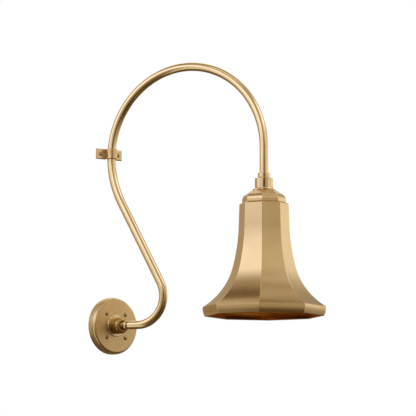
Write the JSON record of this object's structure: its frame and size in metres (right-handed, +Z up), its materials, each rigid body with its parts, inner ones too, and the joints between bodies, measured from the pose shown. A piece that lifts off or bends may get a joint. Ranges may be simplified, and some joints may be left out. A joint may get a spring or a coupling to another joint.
{
  "type": "wall light",
  "caption": "Wall light with a round backplate, a swivel hub, a bent tube arm held to the wall by a strap, and a hanging eight-sided flared shade with its lampholder and bulb.",
  "frame": {"origin": "middle of the back of the wall bracket, on the wall behind the middle of the backplate", "axes": "+Z up, the wall is the plane y = 0 and the light stands out from it towards -Y, +X along the wall"},
  "size_m": [0.3359, 0.5153, 0.6444],
  "materials": {
    "plate_brass": "satin",
    "hub_brass": "satin",
    "tube_brass": "polished",
    "fitting_brass": "polished",
    "shade_brass": "satin",
    "screw_brass": "satin",
    "zinc_steel": "satin",
    "plain_brass": "satin",
    "nylon": "matte",
    "block_plastic": "matte",
    "lead_sleeve": "matte",
    "porcelain": "glossy",
    "cap_metal": "satin",
    "tip_glass": "glossy",
    "bulb_glass": "clear",
    "stem_glass": "clear",
    "filament": "matte"
  },
  "bodies": {
    "root": {"backplate": "plate_brass", "plate_screws": "screw_brass", "bracket_posts": "zinc_steel", "mounting_bracket": "zinc_steel", "ground_screw": "zinc_steel", "terminal_block": "block_plastic", "terminal_screws": "zinc_steel", "supply_lead": "lead_sleeve", "hub_rod": "zinc_steel", "hub_washer": "zinc_steel", "hub_nut": "plain_brass", "hub_flange": "hub_brass", "hub_body": "hub_brass", "hub_plug": "plain_brass", "swivel_seat": "nylon", "pivot_screws": "screw_brass"},
    "arm": {"swivel_stem": "hub_brass", "arm_collar": "hub_brass", "arm_tube": "tube_brass", "lamp_lead": "lead_sleeve", "end_bush": "plain_brass", "shade_rod": "zinc_steel", "tube_ferrule": "fitting_brass", "shade_collar": "fitting_brass", "shade_flange": "fitting_brass", "shade_dome": "shade_brass", "shade_body": "shade_brass", "shade_rim": "shade_brass", "shade_washer": "zinc_steel", "shade_nut": "plain_brass", "socket_cap": "plain_brass", "socket_body": "porcelain", "socket_shell": "plain_brass", "socket_contact": "plain_brass", "socket_screws": "zinc_steel"},
    "clip": {"wall_clip": "plate_brass", "clip_screws": "screw_brass"},
    "bulb": {"bulb_cap": "cap_metal", "bulb_tip": "tip_glass", "bulb_glass": "bulb_glass", "bulb_stem": "stem_glass", "bulb_filaments": "filament"}
  },
  "joints": [
    {"name": "arm_swivel", "type": "hinge", "parent": "root", "child": "arm", "pos_m": [0, -0.036, 0], "axis": [0, 0, 1], "range_deg": [-45, 0]},
    {"name": "clip_slide", "type": "slide", "parent": "root", "child": "clip", "axis": [1, 0, 0], "range_m": [0, 0.02]},
    {"name": "bulb_unscrew", "type": "slide", "parent": "arm", "child": "bulb", "axis": [0, 0, -1], "range_m": [0, 0.03]}
  ],
  "couplings": [
    {"joint": "clip_slide", "follows": "arm_swivel", "m_per_rad": -0.02514}
  ]
}
